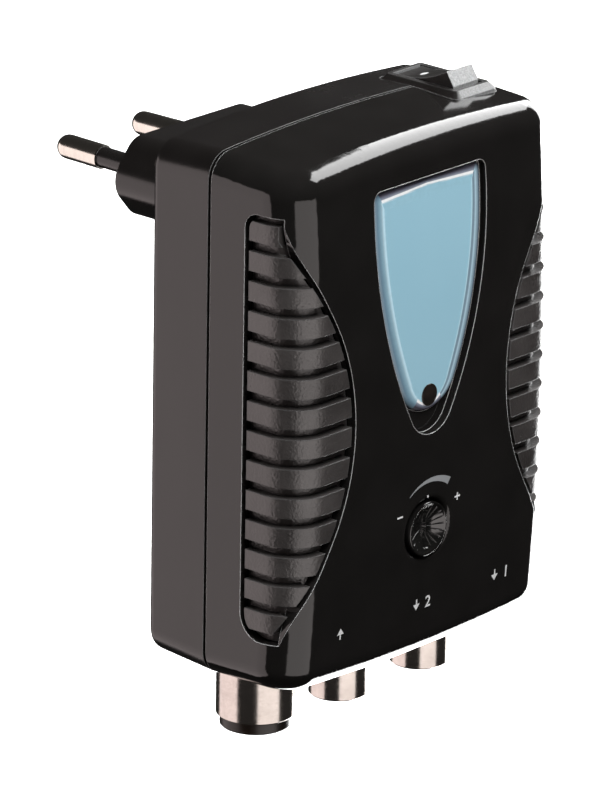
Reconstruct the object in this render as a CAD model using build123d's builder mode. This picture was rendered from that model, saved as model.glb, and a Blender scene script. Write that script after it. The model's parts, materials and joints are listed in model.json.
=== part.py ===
from build123d import *
import math
import os

os.makedirs("parts", exist_ok=True)

# A plug-in aerial signal amplifier, in millimetres. +Z is up, the front faces -Y and +X is to the
# right seen from the front. The origin is midway between the plug's pins, on the plug's end face.
# A depth is a distance forward of that face, so a point at depth d has y = -d.
# A sink is a distance in from the housing's outer surface.

# Fits
overrun = 2.0
piece_gap = 0.15
running_gap = 0.04
loose_gap = 0.3

# Housing
half_width = 31.35
side_top = 14.53
side_bottom = -70.77
top_rise = 1.44
bottom_rise = 1.33
rear_depth = 20.5
seam_depth = 33.1
front_depth = 52.17
crown_radius = 500.0
crown_z = -28.4
corner_radius = 4.4
inner_corner_radius = 0.5
bevel_share = 0.6
front_edge_radius = 6.6
rear_edge_radius = 1.5
front_top_draft = 1.1
front_bottom_draft = 0.5
rear_top_draft = 0.63
rear_bottom_draft = 0.8
rear_side_draft = 0.41
wall = 2.2
seam_groove = 0.6
tongue_sink = 1.0
tongue_reach = 3.0

# Side pockets and their ribbed grips
pocket_depth_share = 0.388
pocket_side_depth = 47.7
pocket_side_lap = 1.1
pocket_top = 7.4
pocket_bottom = -62.2
pocket_upper_corner = 2.6
pocket_lower_corner = 4.2
pocket_sink = 3.0
pocket_wall = 1.5
waist_z = -28.2
waist_inset = 13.35
waist_radius = 37.5
flank_angle = 30.0
flank_length = 9.75
flare_radius = 21.0
flare_angle = 6.0
rib_count = 14
rib_pitch = 4.873
rib_height = 3.2
rib_top = 6.14
rib_sink = 0.12
rib_inset = 0.8
grip_floor_sink = 1.8

# Lens and its recess in the front
lens_top = 7.9
lens_half_width = 12.78
lens_side_radius = 73.0
lens_side_z = 3.76
lens_tip_z = -30.0
lens_top_corner = 1.2
lens_sink = 0.8
lens_thickness = 1.5
recess_margin = 0.45
recess_tip_z = -33.7
recess_sink = 1.4
recess_backing = 1.8
recess_backing_margin = 1.5

# Indicator
lamp_z = -27.4
light_pipe_radius = 1.75
light_pipe_chamfer = 0.15
lamp_radius = 1.5
lamp_flange_radius = 1.9
lamp_flange = 1.0
lamp_body_length = 4.3
lamp_lead_radius = 0.25
lamp_stand = 1.77
lamp_lead_spacing = 2.54

# Gain control
gain_z = -49.65
gain_bore_radius = 4.75
gain_lip_radius = 0.95
gain_collar_wall = 1.5
gain_collar_reach = 2.4
knob_radius = 4.45
knob_proud = 0.35
knob_edge_radius = 0.4
knob_ring_inner = 2.7
knob_ring_outer = 3.95
knob_ring_depth = 0.6
knob_rib_count = 20
knob_rib_width = 0.4
knob_slot_length = 6.6
knob_slot_width = 1.0
knob_slot_depth = 0.9
shaft_radius = 2.0
shaft_flat = 1.4
shaft_seat_depth = 2.6
pot_side = 11.0
pot_body_depth = 4.2
pot_bush_radius = 3.3
pot_bush_length = 1.0
pot_corner_radius = 1.0

# Rocker switch on top
switch_inset = 9.95
switch_depth = 33.8
bezel_width = 10.2
bezel_length = 16.6
bezel_top_z = 16.05
bezel_seat_z = 14.2
bezel_slope = 1.0
bezel_corner_radius = 1.4
rocker_width = 6.0
rocker_pivot_z = 13.9
rocker_tip_half_length = 5.28
rocker_tip_height = 3.4
rocker_dip = 0.8
rocker_heel_half_length = 6.15
rocker_heel_height = 0.9
rocker_base_half_length = 5.0
rocker_base_drop = 2.2
rocker_tilt = 14.0
trunnion_radius = 0.8
trunnion_length = 0.9
trunnion_end_gap = 0.05
rocker_side_gap = 0.25
rocker_end_gap = 0.3
switch_wall = 1.0
switch_body_bottom = 3.0
switch_floor_gap = 0.7
terminal_count = 3
terminal_pitch = 4.4
terminal_width = 3.2
terminal_thickness = 0.8
terminal_reach = 5.0

# Mains pins and plug stem
pin_half_spacing = 9.3
pin_lean = 1.66
pin_length = 19.5
pin_sleeve_length = 10.0
pin_sleeve_radius = 1.7
pin_tip_radius = 2.0
pin_core_radius = 1.25
pin_tail_depth = 16.5
strip_thickness = 0.6
strip_width = 3.0
strip_reach = 3.2
stem_half_height = 6.6
stem_flat_half_width = 13.05
stem_apex_half_width = 18.76
stem_apex_radius = 4.5
stem_shoulder_radius = 4.0
stem_end_radius = 0.6
stem_wall = 2.0
stem_end_wall = 2.6
carrier_depth = 14.0
carrier_margin = 1.2

# Coaxial connectors
connector_depth = 33.7
connector_inset = 11.65
socket_radius = 6.33
socket_end_z = -79.9
liner_radius = 5.7
liner_bore_radius = 4.8
liner_end_z = -81.8
plug_sleeve_radius = 4.75
plug_sleeve_bore = 4.1
plug_sleeve_end_z = -82.0
sleeve_edge = 0.25
sleeve_step = 0.1
sleeve_step_z = -72.3
connector_reach = 9.3
insulator_thickness = 2.4
contact_radius = 1.19
contact_recess = 1.2
contact_socket_radius = 1.8
contact_socket_bore = 1.22
contact_socket_depth = 7.0
contact_tail_radius = 0.6
contact_tail_length = 3.0
tail_hole_radius = 1.6

# Circuit board and the screening can on it
board_inset = 3.95
board_top = 8.0
board_bottom = -62.3
board_depth = 24.4
board_thickness = 1.6
can_inset = 5.15
can_top = -40.0
can_bottom = -62.2
can_front_inset = 10.67
can_thickness = 0.4

# Power supply parts
core_width_inset = 1.35
core_height = 25.0
core_stack_share = 0.438
core_leg = 8.0
core_window_width = 6.0
core_window_height = 15.5
core_side_gap = 9.85
core_centre_z = -6.0
bobbin_flange = 1.0
bobbin_tube = 0.6
bobbin_reach = 3.6
bobbin_corner = 1.0
winding_gap = 0.3
winding_corner = 2.0
capacitor_radius = 4.0
capacitor_length = 12.0
capacitor_x = 14.0
capacitor_z = -24.0
capacitor_groove_depth = 0.4
capacitor_groove_offset = 2.0
diode_count = 4
diode_pitch = 4.2
diode_radius = 1.35
diode_length = 5.2
diode_lead_radius = 0.4
diode_lead_length = 1.4
diode_inset = 17.5
diode_z = -33.5
regulator_x = -14.0
regulator_z = -30.0
regulator_radius = 2.4
regulator_flat = 1.3
regulator_length = 4.8
regulator_lead_length = 2.0
regulator_lead_radius = 0.3
regulator_lead_pitch = 1.27
regulator_lead_count = 3

# Fastenings
screw_radius = 1.5
screw_head_radius = 2.7
screw_head_height = 1.8
screw_length = 14.0
screw_recess_depth = 4.0
boss_radius = 2.9
boss_root_radius = 4.0
boss_root_floor = 1.5
upper_boss_inset = 5.45
upper_boss_z = -4.0
lower_boss_z = -66.5
boss_seam_gap = 0.2
screw_drive_width = 0.8
screw_drive_depth = 0.9
board_screw_inset = 4.9
board_screw_upper_z = -14.0
board_screw_lower_z = -36.5
board_screw_radius = 1.1
board_screw_head_radius = 2.0
board_screw_head_height = 1.2
board_screw_length = 5.0
board_post_radius = 2.6

# Places that follow the housing's size
pocket_depth = seam_depth + (front_depth - seam_depth) * pocket_depth_share
waist_half_width = half_width - waist_inset
switch_x = half_width - switch_inset
connector_pitch = half_width - connector_inset
board_half_width = half_width - board_inset
board_screw_x = board_half_width - board_screw_inset
diode_x = board_screw_x - diode_inset
board_front_depth = board_depth + board_thickness
can_half_width = half_width - can_inset
can_front_depth = front_depth - can_front_inset
core_stack = (front_depth - wall - board_front_depth) * core_stack_share
core_width = half_width - core_width_inset
core_centre_x = core_side_gap + core_width / 2 - half_width
upper_boss_x = half_width - upper_boss_inset
lower_boss_x = connector_pitch / 2

def finish(part, name):
    """Names a finished piece and writes it."""
    part.label = name
    export_step(part, f"parts/{name}.step")


# Housing forms
def housing_section(depth, sink):
    """The housing's outline at one depth, drawn in by a sink, with its corners still sharp."""
    ahead = max(depth - seam_depth, 0) / (front_depth - seam_depth)
    behind = max(seam_depth - depth, 0) / (seam_depth - rear_depth)
    half = half_width - rear_side_draft * behind - sink
    top = side_top - front_top_draft * ahead - rear_top_draft * behind - sink
    bottom = side_bottom + front_bottom_draft * ahead + rear_bottom_draft * behind + sink
    with BuildSketch(Plane.XZ.offset(depth)) as section:
        with BuildLine():
            Line((-half, bottom), (-half, top))
            ThreePointArc((-half, top), (0, top + top_rise), (half, top))
            Line((half, top), (half, bottom))
            ThreePointArc((half, bottom), (0, bottom - bottom_rise), (-half, bottom))
        make_face()
    return section.sketch


def housing_slice(back, front, sink):
    """A length of the housing between two depths, with its four long corners rounded."""
    with BuildPart() as slice_form:
        add(housing_section(back, sink))
        add(housing_section(front, sink))
        loft(ruled=True)
        long_edges = slice_form.edges().filter_by(lambda edge: abs((edge @ 1 - edge @ 0).Y) > (front - back) / 2)
        fillet(long_edges, max(corner_radius - sink, inner_corner_radius))
    return slice_form.part


def crown_y(z, sink):
    """Where the bowed front surface lies at one height."""
    return -(front_depth - sink) + (z - crown_z) ** 2 / (2 * crown_radius)


def crown_slab(outer_sink, inner_sink):
    """The space between two sinks under the bowed front, across the whole width."""
    low = side_bottom - bottom_rise - overrun
    high = side_top + top_rise + overrun
    with BuildPart() as slab:
        with BuildSketch(Plane.YZ):
            with BuildLine():
                ThreePointArc(
                    (crown_y(low, outer_sink), low),
                    (crown_y(crown_z, outer_sink), crown_z),
                    (crown_y(high, outer_sink), high),
                )
                Line((crown_y(high, outer_sink), high), (crown_y(high, inner_sink), high))
                ThreePointArc(
                    (crown_y(high, inner_sink), high),
                    (crown_y(crown_z, inner_sink), crown_z),
                    (crown_y(low, inner_sink), low),
                )
                Line((crown_y(low, inner_sink), low), (crown_y(low, outer_sink), low))
            make_face()
        extrude(amount=half_width + overrun, both=True)
    return slab.part


def front_form(back, sink, rounded):
    """The front half of the housing as a solid, its edges rounded where they show, else bevelled."""
    with BuildPart() as form:
        add(housing_section(back, sink))
        add(housing_section(front_depth, sink))
        loft(ruled=True)
        add(crown_slab(sink, front_depth - back + overrun), mode=Mode.INTERSECT)
        front_face = form.faces().sort_by(Axis.Y)[0]
        upright_edges = front_face.edges().filter_by(lambda edge: abs((edge @ 1 - edge @ 0).Z) > half_width)
        if rounded:
            fillet(upright_edges, front_edge_radius - sink)
            rim_edges = ShapeList()
            for end_face in (form.faces().sort_by(Axis.Z)[-1], form.faces().sort_by(Axis.Z)[0]):
                rear_edge = end_face.edges().sort_by(Axis.Y)[-1]
                rim_edges += [edge for edge in end_face.edges() if edge != rear_edge]
            fillet(rim_edges, corner_radius - sink)
        else:
            chamfer(upright_edges, bevel_share * (front_edge_radius - sink))
    return form.part


# Outlines of the side pockets
def pocket_side_outline(clearance):
    """One side pocket seen from the front: all that lies outside the hourglass edge, at -X."""
    start = math.radians(flank_angle)
    end = math.radians(flare_angle)
    middle = (start + end) / 2
    centre_x = -(waist_half_width + clearance) - waist_radius
    arc_end = Vector(centre_x + waist_radius * math.cos(start), waist_radius * math.sin(start))
    flank_end = arc_end + Vector(-math.sin(start), math.cos(start)) * flank_length

    def flare_point(angle):
        across = math.cos(angle) - math.cos(start)
        along = math.sin(start) - math.sin(angle)
        return flank_end + Vector(-across, along) * flare_radius

    flare_end = flare_point(end)
    reach = pocket_top - waist_z + overrun - flare_end.Y
    outer = Vector(flare_end.X - math.tan(end) * reach, flare_end.Y + reach)
    far_x = -half_width - overrun

    def at_waist(point, side):
        return (point.X, waist_z + side * point.Y)

    with BuildSketch(Plane.XZ.offset(pocket_depth + clearance)) as outline:
        with BuildLine():
            ThreePointArc(at_waist(arc_end, -1), (centre_x + waist_radius, waist_z), at_waist(arc_end, 1))
            for side in (-1, 1):
                Line(at_waist(arc_end, side), at_waist(flank_end, side))
                ThreePointArc(
                    at_waist(flank_end, side),
                    at_waist(flare_point(middle), side),
                    at_waist(flare_end, side),
                )
                Line(at_waist(flare_end, side), at_waist(outer, side))
                Line(at_waist(outer, side), (far_x, waist_z + side * outer.Y))
            Line((far_x, waist_z - outer.Y), (far_x, waist_z + outer.Y))
        make_face()
    return outline.sketch


def pocket_prism(clearance, side_front):
    """The left pocket's space, open to the front and the side, less a clearance all round."""
    length = front_depth - pocket_depth + overrun
    with BuildPart() as prism:
        extrude(pocket_side_outline(clearance), amount=length)
        with BuildSketch(Plane.XZ.offset(pocket_depth + clearance)):
            with Locations((-half_width - overrun, waist_z)):
                Rectangle(
                    overrun + pocket_sink + pocket_wall + pocket_side_lap,
                    2 * (pocket_top - waist_z + overrun),
                    align=(Align.MIN, Align.CENTER),
                )
        extrude(amount=side_front - pocket_depth - 2 * clearance)
        back = -(pocket_depth + clearance)
        top = pocket_top - clearance
        bottom = pocket_bottom + clearance
        with BuildSketch(Plane.YZ.offset(-half_width - overrun)) as side_view:
            with BuildLine():
                Polyline(
                    (back, top), (back, bottom), (back - length, bottom), (back - length, top), close=True
                )
            make_face()
            rear_corners = side_view.vertices().group_by(Axis.X)[-1].sort_by(Axis.Y)
            fillet(rear_corners[-1], pocket_upper_corner - clearance)
            lower_corner = side_view.vertices().group_by(Axis.X)[-1].sort_by(Axis.Y)[0]
            fillet(lower_corner, pocket_lower_corner - clearance)
        extrude(amount=half_width + overrun, mode=Mode.INTERSECT)
    return prism.part


# Outline of the lens and its recess
def shield_outline(margin, tip_z):
    """A shield seen from the front: flat top, long side arcs and a round tip, tangent to each other."""
    radius = lens_side_radius + margin
    centre_x = lens_half_width - lens_side_radius
    top = lens_top + margin
    fall = lens_side_z - tip_z
    tip_radius = (radius**2 - centre_x**2 - fall**2) / (2 * (radius - fall))
    tip_centre = tip_z + tip_radius
    reach = math.hypot(centre_x, lens_side_z - tip_centre)
    touch_x = tip_radius * -centre_x / reach
    touch_z = tip_centre - tip_radius * (lens_side_z - tip_centre) / reach
    half_top = centre_x + math.sqrt(radius**2 - (top - lens_side_z) ** 2)
    middle_z = (top + touch_z) / 2
    half_middle = centre_x + math.sqrt(radius**2 - (middle_z - lens_side_z) ** 2)
    with BuildSketch(Plane.XZ) as outline:
        with BuildLine():
            Line((-half_top, top), (half_top, top))
            ThreePointArc((half_top, top), (half_middle, middle_z), (touch_x, touch_z))
            ThreePointArc((touch_x, touch_z), (0, tip_z), (-touch_x, touch_z))
            ThreePointArc((-touch_x, touch_z), (-half_middle, middle_z), (-half_top, top))
        make_face()
        top_corners = outline.vertices().group_by(Axis.Y)[-1]
        fillet(top_corners, lens_top_corner + margin)
    return outline.sketch


def shield_prism(margin, tip_z, outer_sink, inner_sink):
    """A shield-shaped plate between two sinks under the bowed front."""
    with BuildPart() as prism:
        extrude(shield_outline(margin, tip_z), amount=front_depth + overrun)
        add(crown_slab(outer_sink, inner_sink), mode=Mode.INTERSECT)
    return prism.part


boss_places = [
    (-upper_boss_x, upper_boss_z),
    (upper_boss_x, upper_boss_z),
    (-lower_boss_x, lower_boss_z),
    (lower_boss_x, lower_boss_z),
]
board_screw_places = [
    (-board_screw_x, board_screw_upper_z),
    (board_screw_x, board_screw_upper_z),
    (-board_screw_x, board_screw_lower_z),
    (board_screw_x, board_screw_lower_z),
]
connector_places = {"input": -connector_pitch, "output_2": 0, "output_1": connector_pitch}
front_shell_back = seam_depth + seam_groove / 2
rear_shell_front = seam_depth - seam_groove / 2


rocker_swing = math.hypot(rocker_tip_half_length, rocker_tip_height)
chamber_width = rocker_width + 2 * rocker_side_gap
chamber_length = 2 * (rocker_swing + rocker_end_gap)
switch_body_width = chamber_width + 2 * switch_wall
switch_body_length = chamber_length + 2 * switch_wall
switch_centre = (switch_x, -switch_depth)


def switch_opening():
    """The room that the switch body and its bezel take in the top of both shells."""
    with BuildPart() as opening:
        with BuildSketch(Plane.XY.offset(switch_body_bottom)):
            with Locations(switch_centre):
                Rectangle(switch_body_width + 2 * piece_gap, switch_body_length + 2 * piece_gap)
        extrude(amount=bezel_top_z - switch_body_bottom)
        with BuildSketch(Plane.XY.offset(bezel_seat_z)):
            with Locations(switch_centre):
                RectangleRounded(
                    bezel_width + 2 * piece_gap,
                    bezel_length + 2 * piece_gap,
                    bezel_corner_radius + piece_gap,
                )
        extrude(amount=side_top + top_rise - bezel_seat_z + overrun)
    return opening.part


def connector_openings():
    """The holes for the three connectors through the bottom of both shells."""
    start = side_bottom - bottom_rise - overrun
    with BuildPart() as openings:
        with BuildSketch(Plane.XY.offset(start)):
            for name, x in connector_places.items():
                radius = socket_radius if name == "input" else plug_sleeve_radius
                with Locations((x, -connector_depth)):
                    Circle(radius + piece_gap)
        extrude(amount=can_bottom - start)
    return openings.part


# Rear shell with the hollow plug stem
def stem_outline(depth, inset):
    """The plug's six-sided outline with rounded corners, at one depth."""
    with BuildSketch(Plane.XZ.offset(depth)) as outline:
        with BuildLine():
            Polyline(
                (stem_apex_half_width, 0),
                (stem_flat_half_width, stem_half_height),
                (-stem_flat_half_width, stem_half_height),
                (-stem_apex_half_width, 0),
                (-stem_flat_half_width, -stem_half_height),
                (stem_flat_half_width, -stem_half_height),
                close=True,
            )
        make_face()
        fillet(outline.vertices().group_by(Axis.Y)[1], stem_apex_radius)
        fillet(outline.vertices().group_by(Axis.Y)[0], stem_shoulder_radius)
        fillet(outline.vertices().group_by(Axis.Y)[-1], stem_shoulder_radius)
        if inset:
            offset(amount=-inset, mode=Mode.REPLACE)
    return outline.sketch


def pin_plane(side):
    """The plane square to one pin's axis, where that axis meets the plug's end face."""
    lean = math.radians(pin_lean)
    return Plane(
        origin=(side * pin_half_spacing, 0, 0),
        x_dir=(0, 0, 1),
        z_dir=(-side * math.sin(lean), math.cos(lean), 0),
    )


rear_outer = housing_slice(rear_depth, rear_shell_front, 0)
rear_tongue = housing_slice(rear_shell_front - overrun, rear_shell_front + tongue_reach, tongue_sink)
rear_cavity = housing_slice(rear_depth + wall, rear_shell_front + tongue_reach, wall)
switch_hole = switch_opening()
connector_holes = connector_openings()
boss_root_depth = rear_depth + wall / 2

with BuildPart() as rear_shell:
    extrude(stem_outline(0, 0), amount=boss_root_depth)
    stem_rim = rear_shell.faces().sort_by(Axis.Y)[-1].edges()
    fillet(stem_rim, stem_end_radius)
    add(rear_outer)
    rear_face = rear_shell.faces().filter_by(Axis.Y).sort_by(Axis.Y)[-2]
    fillet(rear_face.outer_wire().edges(), rear_edge_radius)
    add(rear_tongue)
    add(rear_cavity, mode=Mode.SUBTRACT)
    stem_hollow = stem_outline(stem_end_wall, stem_wall)
    extrude(stem_hollow, amount=rear_depth + wall - stem_end_wall, mode=Mode.SUBTRACT)
    for side in (-1, 1):
        with BuildSketch(pin_plane(side).offset(overrun)):
            Circle(pin_sleeve_radius + piece_gap)
        extrude(amount=-(stem_end_wall + 2 * overrun), mode=Mode.SUBTRACT)
    with BuildSketch(Plane.XZ.offset(boss_root_depth)):
        with Locations(*boss_places):
            Circle(boss_radius)
    extrude(amount=seam_depth - boss_seam_gap / 2 - boss_root_depth)
    with BuildSketch(Plane.XZ.offset(boss_root_depth)):
        with Locations(*boss_places):
            Circle(boss_root_radius)
    extrude(amount=rear_depth + screw_recess_depth + boss_root_floor - boss_root_depth)
    with BuildSketch(Plane.XZ.offset(boss_root_depth)):
        with Locations(*board_screw_places):
            Circle(board_post_radius)
    extrude(amount=board_depth - boss_root_depth)
    with BuildSketch(Plane.XZ.offset(rear_depth - overrun)):
        with Locations(*boss_places):
            Circle(screw_head_radius + piece_gap)
    extrude(amount=overrun + screw_recess_depth, mode=Mode.SUBTRACT)
    with BuildSketch(Plane.XZ.offset(rear_depth)):
        with Locations(*boss_places):
            Circle(screw_radius + piece_gap)
    extrude(amount=seam_depth - rear_depth, mode=Mode.SUBTRACT)
    with BuildSketch(Plane.XZ.offset(board_depth)):
        with Locations(*board_screw_places):
            Circle(board_screw_radius + piece_gap)
    extrude(amount=-(board_screw_length - board_thickness + loose_gap), mode=Mode.SUBTRACT)
    add(switch_hole, mode=Mode.SUBTRACT)
    add(connector_holes, mode=Mode.SUBTRACT)
finish(rear_shell.part, "rear_shell")

# Front shell
front_outer = front_form(front_shell_back, 0, True)
front_cavity = front_form(front_shell_back, wall, False)
pocket_floor_form = front_form(front_shell_back, pocket_sink, False)
pocket_back_form = front_form(front_shell_back, pocket_sink + pocket_wall, False)
tongue_room = housing_slice(
    front_shell_back - overrun, rear_shell_front + tongue_reach + loose_gap, tongue_sink - piece_gap
)
recess_backing_plate = shield_prism(
    recess_margin + recess_backing_margin,
    recess_tip_z - recess_backing_margin,
    wall / 2,
    lens_sink + lens_thickness + recess_backing,
)
recess_room = shield_prism(recess_margin, recess_tip_z, -overrun, recess_sink)
lens_seat = shield_prism(piece_gap, lens_tip_z - piece_gap, 0, lens_sink + lens_thickness)
gain_front_depth = -crown_y(gain_z, 0)
inner_front_depth = front_depth - wall

with BuildPart() as pocket_room:
    add(pocket_prism(0, pocket_side_depth))
    add(pocket_floor_form, mode=Mode.SUBTRACT)
    mirror(about=Plane.YZ)

with BuildPart() as pocket_lining:
    add(pocket_prism(-pocket_wall, front_depth))
    add(pocket_back_form, mode=Mode.SUBTRACT)
    mirror(about=Plane.YZ)

with BuildPart() as front_hollow:
    add(front_cavity)
    add(pocket_lining.part, mode=Mode.SUBTRACT)

with BuildPart() as front_shell:
    add(front_outer)
    add(front_hollow.part, mode=Mode.SUBTRACT)
    add(tongue_room, mode=Mode.SUBTRACT)
    add(recess_backing_plate)
    with BuildSketch(Plane.XZ.offset(inner_front_depth + wall / 2)):
        with Locations((0, gain_z)):
            Circle(gain_bore_radius + gain_collar_wall)
    extrude(amount=-(gain_collar_reach + wall / 2))
    with BuildSketch(Plane.XZ.offset(seam_depth + boss_seam_gap / 2)):
        with Locations(*boss_places[:2]):
            Circle(boss_radius)
    extrude(amount=pocket_depth - seam_depth - boss_seam_gap)
    with BuildSketch(Plane.XZ.offset(seam_depth + boss_seam_gap / 2)):
        with Locations(*boss_places[2:]):
            Circle(boss_radius)
    extrude(amount=inner_front_depth - seam_depth)
    add(pocket_room.part, mode=Mode.SUBTRACT)
    add(recess_room, mode=Mode.SUBTRACT)
    add(lens_seat, mode=Mode.SUBTRACT)
    with BuildSketch(Plane.XZ.offset(front_depth + overrun)):
        with Locations((0, gain_z)):
            Circle(gain_bore_radius)
    extrude(amount=-(wall + gain_collar_reach + 2 * overrun), mode=Mode.SUBTRACT)
    gain_edge = front_shell.edges().sort_by_distance((0, -gain_front_depth, gain_z))[0]
    fillet(gain_edge, gain_lip_radius)
    with BuildSketch(Plane.XZ.offset(front_depth)):
        with Locations((0, lamp_z)):
            Circle(light_pipe_radius + piece_gap)
    extrude(amount=-(lens_sink + lens_thickness + recess_backing + overrun), mode=Mode.SUBTRACT)
    with BuildSketch(Plane.XZ.offset(seam_depth)):
        with Locations(*boss_places):
            Circle(screw_radius + running_gap)
    extrude(
        amount=rear_depth + screw_recess_depth + screw_length + loose_gap - seam_depth, mode=Mode.SUBTRACT
    )
    add(switch_hole, mode=Mode.SUBTRACT)
    add(connector_holes, mode=Mode.SUBTRACT)
finish(front_shell.part, "front_shell")

# Ribbed grips
grip_floor_form = front_form(front_shell_back, grip_floor_sink, True)
grip_back_form = front_form(front_shell_back, pocket_sink - piece_gap, False)
rib_form = front_form(front_shell_back, rib_sink, True)

with BuildPart() as ribs:
    add(pocket_prism(rib_inset, pocket_side_depth))
    add(rib_form, mode=Mode.INTERSECT)
    with BuildSketch(Plane.YZ.offset(-half_width - overrun)):
        for rib in range(rib_count):
            with Locations((-pocket_depth, rib_top - rib * rib_pitch - rib_height / 2)):
                Rectangle(2 * (front_depth - pocket_depth + overrun), rib_height)
    extrude(amount=half_width + overrun, mode=Mode.INTERSECT)

with BuildPart() as left_grip:
    add(pocket_prism(piece_gap, pocket_side_depth))
    add(grip_floor_form, mode=Mode.INTERSECT)
    add(ribs.part)
    add(grip_back_form, mode=Mode.SUBTRACT)
finish(left_grip.part, "left_grip")

with BuildPart() as right_grip:
    add(left_grip.part.mirror(Plane.YZ))
finish(right_grip.part, "right_grip")

# Lens and indicator
lens_plate = shield_prism(0, lens_tip_z, lens_sink, lens_sink + lens_thickness)
light_pipe_front = front_depth - lens_sink
lamp_seat_depth = board_front_depth + lamp_stand
light_pipe_back = lamp_seat_depth + lamp_flange + lamp_body_length + loose_gap

with BuildPart() as lens:
    add(lens_plate)
    with BuildSketch(Plane.XZ.offset(front_depth)):
        with Locations((0, lamp_z)):
            Circle(light_pipe_radius + piece_gap / 2)
    extrude(amount=-(lens_sink + lens_thickness + overrun), mode=Mode.SUBTRACT)
finish(lens.part, "lens")

with BuildPart() as light_pipe:
    with BuildSketch(Plane.XZ.offset(light_pipe_back)):
        with Locations((0, lamp_z)):
            Circle(light_pipe_radius)
    extrude(amount=light_pipe_front - light_pipe_back)
    chamfer(light_pipe.faces().sort_by(Axis.Y)[0].edges(), light_pipe_chamfer)
finish(light_pipe.part, "light_pipe")

with BuildPart() as lamp:
    with BuildSketch(Plane.XZ.offset(lamp_seat_depth)):
        with Locations((0, lamp_z)):
            Circle(lamp_flange_radius)
    extrude(amount=lamp_flange)
    with BuildSketch(Plane.XZ.offset(lamp_seat_depth)):
        with Locations((0, lamp_z)):
            Circle(lamp_radius)
    extrude(amount=lamp_flange + lamp_body_length)
    fillet(lamp.faces().sort_by(Axis.Y)[0].edges(), lamp_radius - running_gap)
    with BuildSketch(Plane.XZ.offset(board_front_depth)):
        with Locations((-lamp_lead_spacing / 2, lamp_z), (lamp_lead_spacing / 2, lamp_z)):
            Circle(lamp_lead_radius)
    extrude(amount=lamp_seat_depth - board_front_depth)
finish(lamp.part, "lamp")

# Gain control
pot_front_depth = can_front_depth + pot_body_depth
knob_front_depth = gain_front_depth + knob_proud
knob_back_depth = pot_front_depth + pot_bush_length + loose_gap
shaft_front_depth = knob_back_depth + shaft_seat_depth
shaft_back_depth = can_front_depth + pot_body_depth / 2

with BuildPart() as potentiometer:
    with BuildSketch(Plane.XZ.offset(can_front_depth)) as pot_body_outline:
        with Locations((0, gain_z)):
            RectangleRounded(pot_side, pot_side, pot_corner_radius)
    extrude(amount=pot_body_depth)
    with BuildSketch(Plane.XZ.offset(pot_front_depth)):
        with Locations((0, gain_z)):
            Circle(pot_bush_radius)
    extrude(amount=pot_bush_length)
    with BuildSketch(Plane.XZ.offset(pot_front_depth + pot_bush_length)):
        with Locations((0, gain_z)):
            Circle(shaft_radius + running_gap)
    extrude(
        amount=-(pot_front_depth + pot_bush_length - shaft_back_depth + loose_gap), mode=Mode.SUBTRACT
    )
finish(potentiometer.part, "potentiometer")


def shaft_key(gap):
    """The flatted end of the shaft, or its seat with a gap added, as a sketch about the gain axis."""
    with BuildSketch() as key:
        Circle(shaft_radius + gap)
        with Locations((0, shaft_flat + gap)):
            Rectangle(2 * (shaft_radius + gap), shaft_radius, align=(Align.CENTER, Align.MIN), mode=Mode.SUBTRACT)
    return key.sketch


with BuildPart() as gain_shaft:
    with BuildSketch(Plane.XZ.offset(shaft_back_depth)):
        with Locations((0, gain_z)):
            Circle(shaft_radius)
    extrude(amount=knob_back_depth - loose_gap - shaft_back_depth)
    with BuildSketch(Plane.XZ.offset(knob_back_depth - loose_gap)):
        with Locations((0, gain_z)):
            add(shaft_key(0))
    extrude(amount=shaft_seat_depth + loose_gap)
finish(gain_shaft.part, "gain_shaft")

with BuildPart() as gain_knob:
    with BuildSketch(Plane.XZ.offset(knob_back_depth)):
        with Locations((0, gain_z)):
            Circle(knob_radius)
    extrude(amount=knob_front_depth - knob_back_depth)
    fillet(gain_knob.faces().sort_by(Axis.Y)[0].edges(), knob_edge_radius)
    with BuildSketch(Plane.XZ.offset(knob_front_depth)):
        with Locations((0, gain_z)):
            Circle(knob_ring_outer)
            Circle(knob_ring_inner, mode=Mode.SUBTRACT)
    extrude(amount=-knob_ring_depth, mode=Mode.SUBTRACT)
    with BuildSketch(Plane.XZ.offset(knob_front_depth - knob_ring_depth)):
        with Locations((0, gain_z)):
            with PolarLocations((knob_ring_inner + knob_ring_outer) / 2, knob_rib_count):
                Rectangle(knob_ring_outer - knob_ring_inner + 2 * running_gap, knob_rib_width)
    extrude(amount=knob_ring_depth)
    with BuildSketch(Plane.XZ.offset(knob_front_depth)):
        with Locations((0, gain_z)):
            SlotOverall(knob_slot_length, knob_slot_width, rotation=90)
    extrude(amount=-knob_slot_depth, mode=Mode.SUBTRACT)
    with BuildSketch(Plane.XZ.offset(knob_back_depth)):
        with Locations((0, gain_z)):
            add(shaft_key(running_gap / 2))
    extrude(amount=shaft_seat_depth + running_gap, mode=Mode.SUBTRACT)
finish(gain_knob.part, "gain_knob")

# Rocker switch
rocker_plane = Plane(
    origin=(switch_x, -switch_depth, rocker_pivot_z),
    x_dir=(0, math.cos(math.radians(rocker_tilt)), -math.sin(math.radians(rocker_tilt))),
    z_dir=(1, 0, 0),
)
bezel_edge_z = bezel_top_z - bezel_slope

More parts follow.
